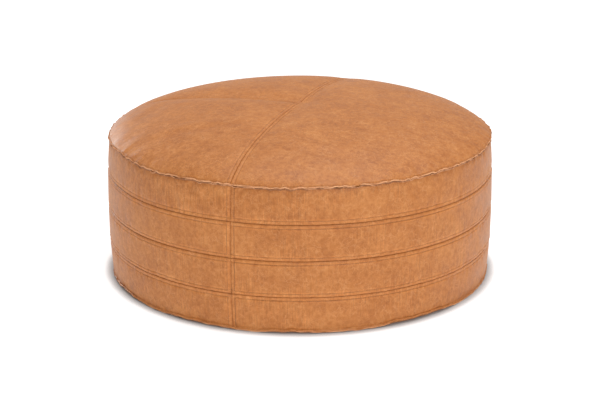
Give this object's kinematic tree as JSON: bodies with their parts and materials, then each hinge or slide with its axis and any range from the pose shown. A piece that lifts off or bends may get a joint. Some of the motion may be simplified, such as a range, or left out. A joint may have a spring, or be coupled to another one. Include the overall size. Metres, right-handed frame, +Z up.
{
  "type": "round leather pouf",
  "caption": "Low, wide round leather pouf: crowned seat of sewn panels, wall of stacked leather strips with raw-edge rim and foot seams, zipped base over a padded core.",
  "frame": {"origin": "centre of the underside, where the pouf stands on the floor", "axes": "+Z up; +X to the right and +Y away from someone who looks at the front, where the seat's long seam comes down the wall left of the middle; the zip runs along X"},
  "size_m": [0.9152, 0.9152, 0.404],
  "materials": {
    "cover_leather": "satin",
    "base_leather": "matte",
    "waxed_thread": "satin",
    "cotton_canvas": "matte",
    "foam": "matte",
    "wadding": "matte",
    "zip_tape": "matte",
    "zip_nylon": "satin",
    "zip_brass": "satin"
  },
  "bodies": {
    "pouf": {"seat_panel_right": "cover_leather", "seat_panel_left_rear": "cover_leather", "seat_panel_left_front": "cover_leather", "wall_bottom_right": "cover_leather", "wall_bottom_left_rear": "cover_leather", "wall_bottom_left_front": "cover_leather", "wall_lower_right": "cover_leather", "wall_lower_left_rear": "cover_leather", "wall_lower_left_front": "cover_leather", "wall_upper_right": "cover_leather", "wall_upper_left_rear": "cover_leather", "wall_upper_left_front": "cover_leather", "wall_top_right": "cover_leather", "wall_top_left_rear": "cover_leather", "wall_top_left_front": "cover_leather", "base_panel_front": "base_leather", "base_panel_rear": "base_leather", "rim_thread": "waxed_thread", "base_thread": "waxed_thread", "bag_top": "cotton_canvas", "bag_side": "cotton_canvas", "bag_base": "cotton_canvas", "foam_slab_lower": "foam", "foam_slab_upper": "foam", "side_wadding": "wadding", "fibre_topper": "wadding", "zip_tape_front": "zip_tape", "zip_tape_rear": "zip_tape", "zip_coil_front": "zip_nylon", "zip_coil_rear": "zip_nylon", "zip_bottom_stop": "zip_brass", "zip_top_stop_front": "zip_brass", "zip_top_stop_rear": "zip_brass"},
    "zip_slider": {"zip_slider": "zip_brass"},
    "zip_pull": {"zip_pull": "zip_brass"}
  },
  "joints": [
    {"name": "zip_slide", "type": "slide", "parent": "pouf", "child": "zip_slider", "axis": [-1, 0, 0], "range_m": [0, 0.57]},
    {"name": "zip_pull_hinge", "type": "hinge", "parent": "zip_slider", "child": "zip_pull", "pos_m": [0.2897, 0, 0.0074], "axis": [0, 1, 0], "range_deg": [-164, 14]}
  ]
}
